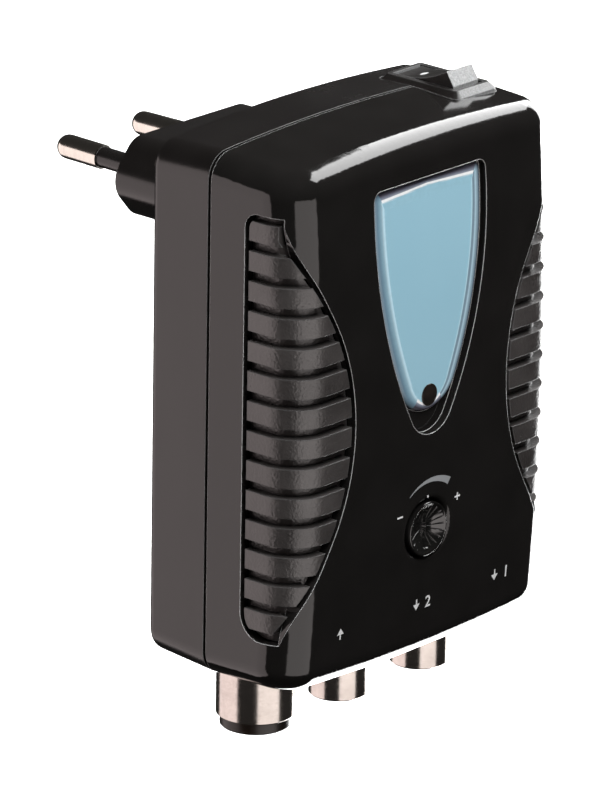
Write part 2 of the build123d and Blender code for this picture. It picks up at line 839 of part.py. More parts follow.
with BuildPart() as switch_housing:
    with BuildSketch(Plane.XY.offset(bezel_seat_z)):
        with Locations(switch_centre):
            RectangleRounded(bezel_width, bezel_length, bezel_corner_radius)
    extrude(amount=bezel_edge_z - bezel_seat_z)
    with BuildSketch(Plane.XY.offset(bezel_edge_z)):
        with Locations(switch_centre):
            RectangleRounded(bezel_width, bezel_length, bezel_corner_radius)
    with BuildSketch(Plane.XY.offset(bezel_top_z)):
        with Locations(switch_centre):
            RectangleRounded(
                bezel_width - 2 * bezel_slope, bezel_length - 2 * bezel_slope, bezel_corner_radius / 2
            )
    loft()
    with BuildSketch(Plane.XY.offset(switch_body_bottom)):
        with Locations(switch_centre):
            Rectangle(switch_body_width, switch_body_length)
    extrude(amount=bezel_seat_z - switch_body_bottom)
    with BuildSketch(Plane.XY.offset(rocker_pivot_z - rocker_swing + switch_floor_gap)):
        with Locations(switch_centre):
            Rectangle(chamber_width, chamber_length)
    extrude(amount=rocker_swing + bezel_top_z - rocker_pivot_z, mode=Mode.SUBTRACT)
    trunnion_span = rocker_width + 2 * (trunnion_length + trunnion_end_gap)
    with BuildSketch(Plane.YZ.offset(switch_x - trunnion_span / 2)):
        with Locations((-switch_depth, rocker_pivot_z)):
            Circle(trunnion_radius + running_gap)
    extrude(amount=trunnion_span, mode=Mode.SUBTRACT)
finish(switch_housing.part, "switch_housing")

with BuildPart() as rocker:
    with BuildSketch(rocker_plane):
        with BuildLine():
            ThreePointArc(
                (-rocker_tip_half_length, rocker_tip_height),
                (0, rocker_tip_height - rocker_dip),
                (rocker_tip_half_length, rocker_tip_height),
            )
            Polyline(
                (rocker_tip_half_length, rocker_tip_height),
                (rocker_heel_half_length, rocker_heel_height),
                (rocker_base_half_length, -rocker_base_drop),
                (-rocker_base_half_length, -rocker_base_drop),
                (-rocker_heel_half_length, rocker_heel_height),
                (-rocker_tip_half_length, rocker_tip_height),
            )
        make_face()
    extrude(amount=rocker_width / 2, both=True)
    with BuildSketch(rocker_plane):
        Circle(trunnion_radius)
    extrude(amount=rocker_width / 2 + trunnion_length, both=True)
finish(rocker.part, "rocker")

with BuildPart() as switch_terminals:
    with BuildSketch(Plane.XY.offset(switch_body_bottom)):
        with Locations(switch_centre):
            with GridLocations(0, terminal_pitch, 1, terminal_count):
                Rectangle(terminal_width, terminal_thickness)
    extrude(amount=-terminal_reach)
finish(switch_terminals.part, "switch_terminals")

# Mains pins, their sleeves, the carrier in the stem and the strips to the board
for side, side_name in ((-1, "left"), (1, "right")):
    square_to_pin = pin_plane(side)
    with BuildPart() as pin:
        with BuildSketch(square_to_pin.offset(-pin_tail_depth)):
            Circle(pin_core_radius)
        extrude(amount=pin_tail_depth + pin_length - pin_tip_radius)
        with BuildSketch(square_to_pin.offset(pin_sleeve_length)):
            Circle(pin_tip_radius)
        extrude(amount=pin_length - pin_sleeve_length)
        fillet(pin.faces().sort_by(Axis.Y)[-1].edges(), pin_tip_radius - running_gap)
    finish(pin.part, f"{side_name}_pin")

    with BuildPart() as pin_sleeve:
        with BuildSketch(square_to_pin.offset(-stem_end_wall + piece_gap)):
            Circle(pin_sleeve_radius)
            Circle(pin_core_radius, mode=Mode.SUBTRACT)
        extrude(amount=stem_end_wall - piece_gap + pin_sleeve_length)
    finish(pin_sleeve.part, f"{side_name}_pin_sleeve")

    tail_x = side * (pin_half_spacing + pin_tail_depth * math.sin(math.radians(pin_lean)))
    tail_y = -pin_tail_depth * math.cos(math.radians(pin_lean)) - strip_thickness
    with BuildPart() as contact_strip:
        with BuildSketch(Plane.XY):
            with BuildLine():
                Polyline(
                    (tail_x - side * pin_core_radius, tail_y),
                    (tail_x + side * strip_reach, tail_y),
                    (tail_x + side * strip_reach, -board_depth + strip_thickness),
                    (tail_x + side * 2 * strip_reach, -board_depth + strip_thickness),
                )
                offset(amount=strip_thickness / 2, side=Side.BOTH, kind=Kind.INTERSECTION)
            make_face()
        extrude(amount=strip_width / 2, both=True)
    finish(contact_strip.part, f"{side_name}_contact_strip")

carrier_outline = stem_outline(stem_end_wall, stem_wall + carrier_margin)
with BuildPart() as pin_carrier:
    extrude(carrier_outline, amount=carrier_depth - stem_end_wall)
    for side in (-1, 1):
        with BuildSketch(pin_plane(side).offset(overrun)):
            Circle(pin_core_radius + running_gap)
        extrude(amount=-(carrier_depth + 2 * overrun), mode=Mode.SUBTRACT)
finish(pin_carrier.part, "pin_carrier")


# Coaxial connectors
def connector_tube(place, outer, inner, low, high):
    """A tube along a connector's axis between two heights, its lower rim bevelled."""
    with BuildPart() as tube:
        with BuildSketch(Plane.XY.offset(low)):
            with Locations((place, -connector_depth)):
                Circle(outer)
                Circle(inner, mode=Mode.SUBTRACT)
        extrude(amount=high - low)
        chamfer(tube.faces().sort_by(Axis.Z)[0].edges(), sleeve_edge)
    return tube.part


def output_sleeve(place):
    """The outer sleeve of an output, a little narrower where it stands in the housing."""
    with BuildPart() as sleeve:
        add(connector_tube(place, plug_sleeve_radius, plug_sleeve_bore, plug_sleeve_end_z, can_bottom))
        with BuildSketch(Plane.XY.offset(sleeve_step_z)):
            with Locations((place, -connector_depth)):
                Circle(plug_sleeve_radius + overrun)
                Circle(plug_sleeve_radius - sleeve_step, mode=Mode.SUBTRACT)
        extrude(amount=can_bottom - sleeve_step_z, mode=Mode.SUBTRACT)
    return sleeve.part


def connector_insulator(place, radius, hole, end_z):
    """The disc that holds the centre contact at the bottom of a connector."""
    with BuildPart() as disc:
        with BuildSketch(Plane.XY.offset(end_z + connector_reach)):
            with Locations((place, -connector_depth)):
                Circle(radius - running_gap)
                Circle(hole + running_gap, mode=Mode.SUBTRACT)
        extrude(amount=insulator_thickness)
    return disc.part


def centre_contact(place, radius, bore, end_z):
    """A centre contact, bored as a socket or solid as a pin, with its tail into the screening can."""
    tip_z = end_z + contact_recess
    seat_z = end_z + connector_reach + insulator_thickness
    with BuildPart() as contact:
        with BuildSketch(Plane.XY.offset(tip_z)):
            with Locations((place, -connector_depth)):
                Circle(radius)
        extrude(amount=seat_z - tip_z)
        if bore:
            with BuildSketch(Plane.XY.offset(tip_z)):
                with Locations((place, -connector_depth)):
                    Circle(bore)
            extrude(amount=contact_socket_depth, mode=Mode.SUBTRACT)
            chamfer(contact.edges().group_by(Axis.Z)[0], sleeve_edge)
        else:
            fillet(contact.edges().group_by(Axis.Z)[0], radius - running_gap)
        with BuildSketch(Plane.XY.offset(seat_z)):
            with Locations((place, -connector_depth)):
                Circle(contact_tail_radius)
        extrude(amount=can_bottom + contact_tail_length - seat_z)
    return contact.part


for name, place in connector_places.items():
    if name == "input":
        liner_top = liner_end_z + connector_reach + insulator_thickness
        finish(connector_tube(place, socket_radius, liner_radius, socket_end_z, can_bottom), "input_sleeve")
        finish(connector_tube(place, liner_radius, liner_bore_radius, liner_end_z, liner_top), "input_liner")
        insulator = connector_insulator(place, liner_bore_radius, contact_socket_radius, liner_end_z)
        finish(insulator, "input_insulator")
        contact = centre_contact(place, contact_socket_radius, contact_socket_bore, liner_end_z)
        finish(contact, "input_contact")
    else:
        finish(output_sleeve(place), f"{name}_sleeve")
        insulator = connector_insulator(place, plug_sleeve_bore, contact_radius, plug_sleeve_end_z)
        finish(insulator, f"{name}_insulator")
        finish(centre_contact(place, contact_radius, 0, plug_sleeve_end_z), f"{name}_pin")

# Circuit board and screening can
with BuildPart() as circuit_board:
    with BuildSketch(Plane.XZ.offset(board_depth)):
        with Locations((0, (board_top + board_bottom) / 2)):
            Rectangle(2 * board_half_width, board_top - board_bottom)
        with Locations(*boss_places):
            Circle(boss_root_radius + loose_gap, mode=Mode.SUBTRACT)
        with Locations(*board_screw_places):
            Circle(board_screw_radius + piece_gap, mode=Mode.SUBTRACT)
    extrude(amount=board_thickness)
finish(circuit_board.part, "circuit_board")

with BuildPart() as screening_can:
    with BuildSketch(Plane.XZ.offset(board_front_depth)):
        with Locations((0, (can_top + can_bottom) / 2)):
            Rectangle(2 * can_half_width, can_top - can_bottom)
    extrude(amount=can_front_depth - board_front_depth)
    offset(amount=-can_thickness, openings=screening_can.faces().sort_by(Axis.Y)[-1])
    with BuildSketch(Plane.XY.offset(can_bottom)):
        with Locations(*[(place, -connector_depth) for place in connector_places.values()]):
            Circle(tail_hole_radius)
    extrude(amount=can_thickness, mode=Mode.SUBTRACT)
finish(screening_can.part, "screening_can")

# Transformer
core_centre_depth = board_front_depth + core_stack / 2 + bobbin_reach
core_plane = Plane.XZ.offset(core_centre_depth)
window_offset = (core_leg + core_window_width) / 2

with BuildPart() as transformer_core:
    with BuildSketch(core_plane):
        with Locations((core_centre_x, core_centre_z)):
            Rectangle(core_width, core_height)
            with Locations((-window_offset, 0), (window_offset, 0)):
                Rectangle(core_window_width, core_window_height, mode=Mode.SUBTRACT)
    extrude(amount=core_stack / 2, both=True)
finish(transformer_core.part, "transformer_core")

flange_width = core_leg + 2 * (core_window_width - winding_gap)
flange_length = core_stack + 2 * bobbin_reach
tube_width = core_leg + 2 * (piece_gap + bobbin_tube)
tube_length = core_stack + 2 * (piece_gap + bobbin_tube)
bobbin_height = core_window_height - 2 * piece_gap
bobbin_centre = (core_centre_x, -core_centre_depth)
bobbin_bottom = core_centre_z - bobbin_height / 2

with BuildPart() as transformer_bobbin:
    for flange_z in (bobbin_bottom, bobbin_bottom + bobbin_height - bobbin_flange):
        with BuildSketch(Plane.XY.offset(flange_z)):
            with Locations(bobbin_centre):
                RectangleRounded(flange_width, flange_length, bobbin_corner)
        extrude(amount=bobbin_flange)
    with BuildSketch(Plane.XY.offset(bobbin_bottom)):
        with Locations(bobbin_centre):
            Rectangle(tube_width, tube_length)
    extrude(amount=bobbin_height)
    with BuildSketch(Plane.XY.offset(bobbin_bottom)):
        with Locations(bobbin_centre):
            Rectangle(core_leg + 2 * piece_gap, core_stack + 2 * piece_gap)
    extrude(amount=bobbin_height, mode=Mode.SUBTRACT)
finish(transformer_bobbin.part, "transformer_bobbin")

with BuildPart() as transformer_winding:
    with BuildSketch(Plane.XY.offset(bobbin_bottom + bobbin_flange)):
        with Locations(bobbin_centre):
            RectangleRounded(flange_width - 2 * winding_gap, flange_length - 2 * winding_gap, winding_corner)
            Rectangle(tube_width, tube_length, mode=Mode.SUBTRACT)
    extrude(amount=bobbin_height - 2 * bobbin_flange)
finish(transformer_winding.part, "transformer_winding")

# Small parts on the board
board_face = Plane.XZ.offset(board_front_depth)

with BuildPart() as capacitor:
    with BuildSketch(board_face):
        with Locations((capacitor_x, capacitor_z)):
            Circle(capacitor_radius)
    extrude(amount=capacitor_length)
    fillet(capacitor.faces().sort_by(Axis.Y)[0].edges(), capacitor_groove_depth)
    with BuildSketch(board_face.offset(capacitor_groove_offset)):
        with Locations((capacitor_x, capacitor_z)):
            Circle(capacitor_radius)
            Circle(capacitor_radius - capacitor_groove_depth, mode=Mode.SUBTRACT)
    extrude(amount=capacitor_groove_depth, mode=Mode.SUBTRACT)
finish(capacitor.part, "capacitor")

diode_plane = Plane.XY.offset(diode_z)
with BuildPart() as diodes:
    for place in range(diode_count):
        centre = (diode_x + place * diode_pitch, -(board_front_depth + diode_radius))
        with BuildSketch(diode_plane):
            with Locations(centre):
                Circle(diode_radius)
        extrude(amount=diode_length / 2, both=True)
        with BuildSketch(diode_plane):
            with Locations(centre):
                Circle(diode_lead_radius)
        extrude(amount=diode_length / 2 + diode_lead_length, both=True)
        leg_rise = diode_length / 2 + diode_lead_length - diode_lead_radius
        with BuildSketch(board_face):
            with Locations((centre[0], diode_z - leg_rise), (centre[0], diode_z + leg_rise)):
                Circle(diode_lead_radius)
        extrude(amount=diode_radius)
finish(diodes.part, "diodes")

with BuildPart() as regulator:
    with BuildSketch(board_face.offset(regulator_lead_length)):
        with Locations((regulator_x, regulator_z)):
            Circle(regulator_radius)
            with Locations((0, -regulator_flat)):
                Rectangle(
                    2 * regulator_radius, regulator_radius, align=(Align.CENTER, Align.MAX), mode=Mode.SUBTRACT
                )
    extrude(amount=regulator_length)
    with BuildSketch(board_face):
        with Locations((regulator_x, regulator_z)):
            with GridLocations(regulator_lead_pitch, 0, regulator_lead_count, 1):
                Circle(regulator_lead_radius)
    extrude(amount=regulator_lead_length)
finish(regulator.part, "regulator")

# Fastenings
with BuildPart() as housing_screws:
    with BuildSketch(Plane.XZ.offset(rear_depth + screw_recess_depth - screw_head_height)):
        with Locations(*boss_places):
            Circle(screw_head_radius)
    extrude(amount=screw_head_height)
    with BuildSketch(Plane.XZ.offset(rear_depth + screw_recess_depth)):
        with Locations(*boss_places):
            Circle(screw_radius)
    extrude(amount=screw_length)
    with BuildSketch(Plane.XZ.offset(rear_depth + screw_recess_depth - screw_head_height)):
        with Locations(*boss_places):
            Rectangle(screw_head_radius, screw_drive_width)
            Rectangle(screw_drive_width, screw_head_radius)
    extrude(amount=screw_drive_depth, mode=Mode.SUBTRACT)
finish(housing_screws.part, "housing_screws")

with BuildPart() as board_screws:
    with BuildSketch(board_face):
        with Locations(*board_screw_places):
            Circle(board_screw_head_radius)
    extrude(amount=board_screw_head_height)
    with BuildSketch(board_face):
        with Locations(*board_screw_places):
            Circle(board_screw_radius)
    extrude(amount=-board_screw_length)
    with BuildSketch(board_face.offset(board_screw_head_height)):
        with Locations(*board_screw_places):
            Rectangle(board_screw_head_radius, screw_drive_width)
            Rectangle(screw_drive_width, board_screw_head_radius)
    extrude(amount=-screw_drive_depth, mode=Mode.SUBTRACT)
finish(board_screws.part, "board_screws")
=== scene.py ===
import json
import math

import bmesh
import bpy
from mathutils import Matrix, Quaternion, Vector
from mathutils.bvhtree import BVHTree


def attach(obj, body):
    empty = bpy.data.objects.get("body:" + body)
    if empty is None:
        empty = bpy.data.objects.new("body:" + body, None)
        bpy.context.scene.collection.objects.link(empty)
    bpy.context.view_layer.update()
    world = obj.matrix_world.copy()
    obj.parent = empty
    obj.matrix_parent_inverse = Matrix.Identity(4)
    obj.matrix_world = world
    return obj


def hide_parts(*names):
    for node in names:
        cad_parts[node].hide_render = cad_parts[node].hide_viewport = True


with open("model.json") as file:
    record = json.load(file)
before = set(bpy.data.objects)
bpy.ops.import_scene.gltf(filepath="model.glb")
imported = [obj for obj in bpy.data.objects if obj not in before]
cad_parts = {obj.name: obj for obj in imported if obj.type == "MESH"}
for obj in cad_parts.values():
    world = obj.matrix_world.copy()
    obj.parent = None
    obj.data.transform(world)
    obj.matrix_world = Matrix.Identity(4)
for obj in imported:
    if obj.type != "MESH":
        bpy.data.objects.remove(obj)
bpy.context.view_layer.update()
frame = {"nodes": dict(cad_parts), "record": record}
nodes = frame["nodes"]
scene = bpy.context.scene

# Roughness of the clear coats
SATIN_COAT = 0.2
CLEAR_COAT = 0.03


# Material nodes
def new_material(name):
    """A material with a principled shader, its node tree and the object's own coordinates."""
    mat = bpy.data.materials.new(name)
    mat.use_nodes = True
    tree = mat.node_tree
    shader = tree.nodes["Principled BSDF"]
    coords = tree.nodes.new("ShaderNodeTexCoord")
    return mat, tree, shader, coords.outputs["Object"]


def noise(tree, coords, scale, detail=3.0, roughness=0.55, stretch=(1, 1, 1)):
    """A noise field over the object's coordinates, stretched along the axes where asked."""
    mapping = tree.nodes.new("ShaderNodeMapping")
    mapping.inputs["Scale"].default_value = stretch
    tree.links.new(coords, mapping.inputs["Vector"])
    node = tree.nodes.new("ShaderNodeTexNoise")
    node.inputs["Scale"].default_value = scale
    node.inputs["Detail"].default_value = detail
    node.inputs["Roughness"].default_value = roughness
    tree.links.new(mapping.outputs["Vector"], node.inputs["Vector"])
    return node.outputs["Fac"]


def spread(tree, field, low, high, start=0.3, end=0.7):
    """Maps a field onto a range of values."""
    node = tree.nodes.new("ShaderNodeMapRange")
    node.inputs["From Min"].default_value = start
    node.inputs["From Max"].default_value = end
    node.inputs["To Min"].default_value = low
    node.inputs["To Max"].default_value = high
    tree.links.new(field, node.inputs["Value"])
    return node.outputs["Result"]


def blend_colours(tree, field, first, second, start=0.3, end=0.7):
    """A colour between two as a field goes from start to end."""
    ramp = tree.nodes.new("ShaderNodeValToRGB")
    ramp.color_ramp.elements[0].position = start
    ramp.color_ramp.elements[0].color = (*first, 1)
    ramp.color_ramp.elements[1].position = end
    ramp.color_ramp.elements[1].color = (*second, 1)
    tree.links.new(field, ramp.inputs["Fac"])
    return ramp.outputs["Color"]


def lay_over(tree, under, colour, share):
    """A colour laid over another by the share that a field gives."""
    node = tree.nodes.new("ShaderNodeMix")
    node.data_type = "RGBA"
    node.inputs["B"].default_value = (*colour, 1)
    tree.links.new(share, node.inputs["Factor"])
    tree.links.new(under, node.inputs["A"])
    return node.outputs["Result"]


def edge_field(tree, distance):
    """Convex edges of the mesh, where handling wears a surface: 0 on flats and 1 at an edge."""
    geometry = tree.nodes.new("ShaderNodeNewGeometry")
    return spread(tree, geometry.outputs["Pointiness"], 0, 1, 0.5 + distance, 0.5 + 4 * distance)


def painted_edge_highlight(tree, radius):
    """A painted highlight: a thin line along every edge, where light catches it, 0 on flats and 1 on an edge.
    """
    softened = tree.nodes.new("ShaderNodeBevel")
    softened.samples = 6
    softened.inputs["Radius"].default_value = radius
    geometry = tree.nodes.new("ShaderNodeNewGeometry")
    match = tree.nodes.new("ShaderNodeVectorMath")
    match.operation = "DOT_PRODUCT"
    tree.links.new(softened.outputs["Normal"], match.inputs[0])
    tree.links.new(geometry.outputs["Normal"], match.inputs[1])
    return spread(tree, match.outputs["Value"], 1, 0, 0.86, 0.985)


def painted_front_light_field(tree, coords):
    """Painted light on the faces that look to the piece's own front, which stand in the light: speckled there
    and 0 elsewhere.
    """
    place = tree.nodes.new("ShaderNodeTexCoord")
    match = tree.nodes.new("ShaderNodeVectorMath")
    match.operation = "DOT_PRODUCT"
    match.inputs[1].default_value = (0, -1, 0)
    tree.links.new(place.outputs["Normal"], match.inputs[0])
    facing = spread(tree, match.outputs["Value"], 0, 1, 0.5, 0.75)
    speck = spread(tree, noise(tree, coords, 3600, 2.0, 0.5), 0.6, 1.0)
    both = tree.nodes.new("ShaderNodeMath")
    both.operation = "MULTIPLY"
    tree.links.new(facing, both.inputs[0])
    tree.links.new(speck, both.inputs[1])
    return both.outputs["Value"]


def bump(tree, shader, layers, edge=0.0):
    """Stacks bumps, each a field, a depth in metres and a strength, over edges softened by a radius."""
    last = None
    if edge:
        softened = tree.nodes.new("ShaderNodeBevel")
        softened.samples = 4
        softened.inputs["Radius"].default_value = edge
        last = softened.outputs["Normal"]
    for field, depth, strength in layers:
        node = tree.nodes.new("ShaderNodeBump")
        node.inputs["Distance"].default_value = depth
        node.inputs["Strength"].default_value = strength
        tree.links.new(field, node.inputs["Height"])
        if last:
            tree.links.new(last, node.inputs["Normal"])
        last = node.outputs["Normal"]
    tree.links.new(last, shader.inputs["Normal"])


def plastic(
    name,
    dark,
    light,
    rough,
    grain=0.0,
    grain_scale=2500,
    coat=0.0,
    specular=0.5,
    edge=0.0002,
    rim=0.0,
    painted_front_light=0.0,
):
    """Moulded plastic: faint mottling, uneven gloss, a fine grain where asked and paler worn edges.

    The grain and the edge radius are in metres. The rim is the grey of a painted highlight, a thin line along
    every edge, and the last argument is the grey of painted light on the faces at the piece's own front.
    """
    mat, tree, shader, coords = new_material(name)
    mottle = noise(tree, coords, 120, 4.0)
    tint = blend_colours(tree, mottle, dark, light)
    paler = [min(1, 1.6 * part + 0.01) for part in light]
    last = lay_over(tree, tint, paler, spread(tree, edge_field(tree, 0.08), 0, 0.35, 0, 1))
    # Painted highlight: a pale line of the rim grey along every edge, where light would catch it
    if rim:
        last = lay_over(tree, last, (rim, rim, rim), painted_edge_highlight(tree, edge))
    # Painted light: the faces at the piece's own front are lightened to the front grey
    if painted_front_light:
        last = lay_over(tree, last, (painted_front_light, painted_front_light, painted_front_light), painted_front_light_field(tree, coords))
    tree.links.new(last, shader.inputs["Base Color"])
    smear = noise(tree, coords, 60, 5.0, 0.6, (1, 1, 0.4))
    tree.links.new(spread(tree, smear, rough[0], rough[1]), shader.inputs["Roughness"])
    shader.inputs["Specular IOR Level"].default_value = specular
    shader.inputs["Coat Weight"].default_value = coat
    shader.inputs["Coat Roughness"].default_value = SATIN_COAT
    layers = [(noise(tree, coords, 90, 2.0), 0.00002, 0.05)]
    if grain:
        layers.append((noise(tree, coords, grain_scale, 2.0, 0.5), grain, 0.6))
    bump(tree, shader, layers, edge)
    return mat


def metal(name, dark, light, rough, stretch, scale=900, depth=0.00001, strength=0.3):
    """Plated or rolled metal: streaks along one way, and patches of duller surface."""
    mat, tree, shader, coords = new_material(name)
    patches = noise(tree, coords, 220, 5.0, 0.65)
    tree.links.new(blend_colours(tree, patches, dark, light), shader.inputs["Base Color"])
    streaks = noise(tree, coords, scale, 3.0, 0.5, stretch)
    tree.links.new(spread(tree, streaks, rough[0], rough[1]), shader.inputs["Roughness"])
    shader.inputs["Metallic"].default_value = 1.0
    bump(tree, shader, [(streaks, depth, strength), (patches, depth, strength / 2)])
    return mat


rear_plastic = plastic(
    "rear_plastic",
    (0.0075, 0.0064, 0.0060),
    (0.0100, 0.0087, 0.0082),
    (0.22, 0.29),
    grain=0.000008,
    grain_scale=3500,
    coat=0.15,
    # rim: a painted highlight line along every edge
    rim=0.22,
)
front_plastic = plastic(
    "front_plastic",
    (0.0090, 0.0083, 0.0078),
    (0.0120, 0.0110, 0.0104),
    (0.07, 0.11),
    # rim: a painted highlight line along every edge
    rim=0.8,
)
grip_plastic = plastic(
    "grip_plastic",
    (0.028, 0.0245, 0.0235),
    (0.066, 0.060, 0.058),
    (0.24, 0.34),
    grain=0.00014,
    grain_scale=2300,
    specular=0.8,
    # rim: a painted highlight line along every edge
    rim=0.10,
)
switch_plastic = plastic(
    "switch_plastic",
    (0.010, 0.0088, 0.0082),
    (0.018, 0.016, 0.015),
    (0.32, 0.44),
    grain=0.00010,
    grain_scale=2200,
    # rim: a painted highlight line along every edge
    rim=0.18,
    # painted light on the faces at the front
    painted_front_light=0.34,
)
rocker_plastic = plastic(
    "rocker_plastic",
    (0.009, 0.008, 0.0075),
    (0.016, 0.0145, 0.0135),
    (0.3, 0.42),
    grain=0.00010,
    grain_scale=2200,
    # rim: a painted highlight line along every edge
    rim=0.22,
    # painted light on the faces at the front
    painted_front_light=0.52,
)
knob_plastic = plastic(
    "knob_plastic",
    (0.004, 0.0038, 0.0036),
    (0.008, 0.0075, 0.007),
    (0.10, 0.17),
    specular=0.9,
    edge=0,
)
liner_plastic = plastic(
    "liner_plastic",
    (0.020, 0.012, 0.008),
    (0.035, 0.022, 0.015),
    (0.25, 0.4),
    grain=0.00001,
    grain_scale=3000,
)
shaft_plastic = plastic("shaft_plastic", (0.55, 0.54, 0.50), (0.66, 0.65, 0.61), (0.35, 0.5))
control_plastic = plastic("control_plastic", (0.03, 0.09, 0.28), (0.04, 0.12, 0.34), (0.3, 0.45))
insulator_plastic = plastic("insulator_plastic", (0.5, 0.48, 0.42), (0.62, 0.6, 0.54), (0.35, 0.5))
pale_ink = plastic("pale_ink", (0.66, 0.67, 0.67), (0.78, 0.79, 0.79), (0.4, 0.5), edge=0)
grey_ink = plastic("grey_ink", (0.26, 0.27, 0.28), (0.32, 0.33, 0.34), (0.35, 0.45), edge=0)
board_green = plastic(
    "board_green", (0.02, 0.10, 0.03), (0.03, 0.14, 0.05), (0.25, 0.4), grain=0.00002, grain_scale=2000
)
tape_yellow = plastic("tape_yellow", (0.55, 0.36, 0.05), (0.65, 0.44, 0.08), (0.3, 0.45), coat=0.4)
bobbin_plastic = plastic("bobbin_plastic", (0.02, 0.02, 0.02), (0.035, 0.035, 0.035), (0.35, 0.5))
can_sleeve = plastic("can_sleeve", (0.01, 0.02, 0.10), (0.015, 0.03, 0.14), (0.2, 0.3), coat=0.5)
epoxy = plastic(
    "epoxy", (0.012, 0.012, 0.012), (0.02, 0.02, 0.02), (0.4, 0.55), grain=0.00002, grain_scale=3000
)

nickel = metal("nickel", (0.50, 0.455, 0.42), (0.62, 0.57, 0.53), (0.13, 0.24), (1, 1, 3), 1500)
pin_nickel = metal("pin_nickel", (0.66, 0.62, 0.56), (0.76, 0.73, 0.67), (0.14, 0.26), (1, 6, 1), 700)
tinplate = metal("tinplate", (0.60, 0.60, 0.60), (0.70, 0.70, 0.70), (0.25, 0.4), (1, 1, 1), 300)
core_steel = metal("core_steel", (0.25, 0.25, 0.27), (0.34, 0.34, 0.36), (0.35, 0.5), (1, 60, 1), 60, 0.00005)
zinc_steel = metal("zinc_steel", (0.50, 0.50, 0.47), (0.60, 0.60, 0.57), (0.25, 0.4), (1, 1, 1), 500)
brass = metal("brass", (0.60, 0.44, 0.18), (0.70, 0.54, 0.24), (0.2, 0.35), (1, 1, 1), 500)


def lens_material():
    """Acrylic painted pale blue behind: a faintly clouded sheet under a smooth, clear coat."""
    mat, tree, shader, coords = new_material("lens_plastic")
    cloud = noise(tree, coords, 45, 2.0)
    tint = blend_colours(tree, cloud, (0.315, 0.555, 0.675), (0.350, 0.590, 0.705), 0.2, 0.8)
    tree.links.new(tint, shader.inputs["Base Color"])
    smear = noise(tree, coords, 70, 4.0)
    tree.links.new(spread(tree, smear, 0.10, 0.16), shader.inputs["Roughness"])
    shader.inputs["Coat Weight"].default_value = 0.6
    shader.inputs["Coat Roughness"].default_value = CLEAR_COAT
    bump(tree, shader, [(noise(tree, coords, 80, 2.0), 0.00002, 0.05)])
    return mat


def painted_lens_light_material(name, stops):
    """One side of the lens's clear rounded border, as bands of painted highlight, reflection and shade for
    the way light falls on that side.

    Each stop is a share of the border's width, from its outer edge inwards, and a colour. The mesh
    carries that share as its inset attribute.
    """
    mat, tree, shader, coords = new_material(name)
    cloud = noise(tree, coords, 1500, 3.0)
    inset = tree.nodes.new("ShaderNodeAttribute")
    inset.attribute_name = "inset"
    ramp = tree.nodes.new("ShaderNodeValToRGB")
    for place, colour in stops[1:-1]:
        ramp.color_ramp.elements.new(place)
    for element, (place, colour) in zip(ramp.color_ramp.elements, stops):
        element.position = place
        element.color = (*colour, 1)
    tree.links.new(inset.outputs["Fac"], ramp.inputs["Fac"])
    frost = tree.nodes.new("ShaderNodeMix")
    frost.data_type = "RGBA"
    frost.blend_type = "MULTIPLY"
    frost.inputs["Factor"].default_value = 1.0
    tree.links.new(ramp.outputs["Color"], frost.inputs["A"])
    tree.links.new(blend_colours(tree, cloud, (0.93, 0.93, 0.93), (1.0, 1.0, 1.0)), frost.inputs["B"])
    tree.links.new(frost.outputs["Result"], shader.inputs["Base Color"])
    tree.links.new(spread(tree, cloud, 0.12, 0.22), shader.inputs["Roughness"])
    return mat


def window_material():
    """The smoked end of the light pipe."""
    mat, tree, shader, coords = new_material("smoked_window")
    cloud = noise(tree, coords, 400, 2.0)
    tint = blend_colours(tree, cloud, (0.010, 0.008, 0.007), (0.022, 0.016, 0.012))
    tree.links.new(tint, shader.inputs["Base Color"])
    tree.links.new(spread(tree, cloud, 0.08, 0.2), shader.inputs["Roughness"])
    shader.inputs["Coat Weight"].default_value = 1.0
    shader.inputs["Coat Roughness"].default_value = CLEAR_COAT
    bump(tree, shader, [(cloud, 0.00001, 0.1)])
    return mat


def lamp_material():
    """The tinted body of the indicator lamp."""
    mat, tree, shader, coords = new_material("lamp_green")
    cloud = noise(tree, coords, 300, 2.0)
    tint = blend_colours(tree, cloud, (0.05, 0.35, 0.08), (0.08, 0.45, 0.12))
    tree.links.new(tint, shader.inputs["Base Color"])
    tree.links.new(spread(tree, cloud, 0.1, 0.25), shader.inputs["Roughness"])
    shader.inputs["Transmission Weight"].default_value = 0.4
    bump(tree, shader, [(cloud, 0.00001, 0.1)])
    return mat


# Tint of the lens's middle, in which each border ends
LENS_TINT = (0.335, 0.575, 0.69)
lens_plastic = lens_material()
# Each side of the border has its own bands of painted highlight, reflection and shade; the top's white band
# is a painted highlight line
lens_border_left_painted_light = painted_lens_light_material(
    "lens_border_left_painted_light",
    [
        (0.0, (0.075, 0.095, 0.12)),
        (0.10, (0.15, 0.23, 0.29)),
        (0.33, (0.15, 0.25, 0.33)),
        (0.50, (0.20, 0.34, 0.42)),
        (0.70, (0.30, 0.46, 0.55)),
        (0.84, (0.50, 0.71, 0.80)),
        (0.92, (0.58, 0.80, 0.90)),
        (1.0, LENS_TINT),
    ],
)
lens_border_right_painted_light = painted_lens_light_material(
    "lens_border_right_painted_light",
    [
        (0.0, (0.05, 0.05, 0.06)),
        (0.20, (0.10, 0.13, 0.17)),
        (0.38, (0.23, 0.33, 0.40)),
        (0.60, (0.46, 0.64, 0.74)),
        (0.70, (0.20, 0.29, 0.36)),
        (0.84, (0.20, 0.29, 0.36)),
        (0.90, (0.52, 0.76, 0.85)),
        (1.0, LENS_TINT),
    ],
)
lens_border_top_painted_light = painted_lens_light_material(
    "lens_border_top_painted_light",
    [
        (0.0, (0.13, 0.12, 0.15)),
        (0.30, (0.085, 0.08, 0.11)),
        (0.55, (0.22, 0.24, 0.31)),
        (0.66, (0.30, 0.34, 0.40)),
        (0.72, (1.0, 1.0, 1.0)),
        (0.90, (1.0, 1.0, 1.0)),
        (0.95, (0.60, 0.75, 0.82)),
        (1.0, LENS_TINT),
    ],
)
smoked_window = window_material()
lamp_green = lamp_material()

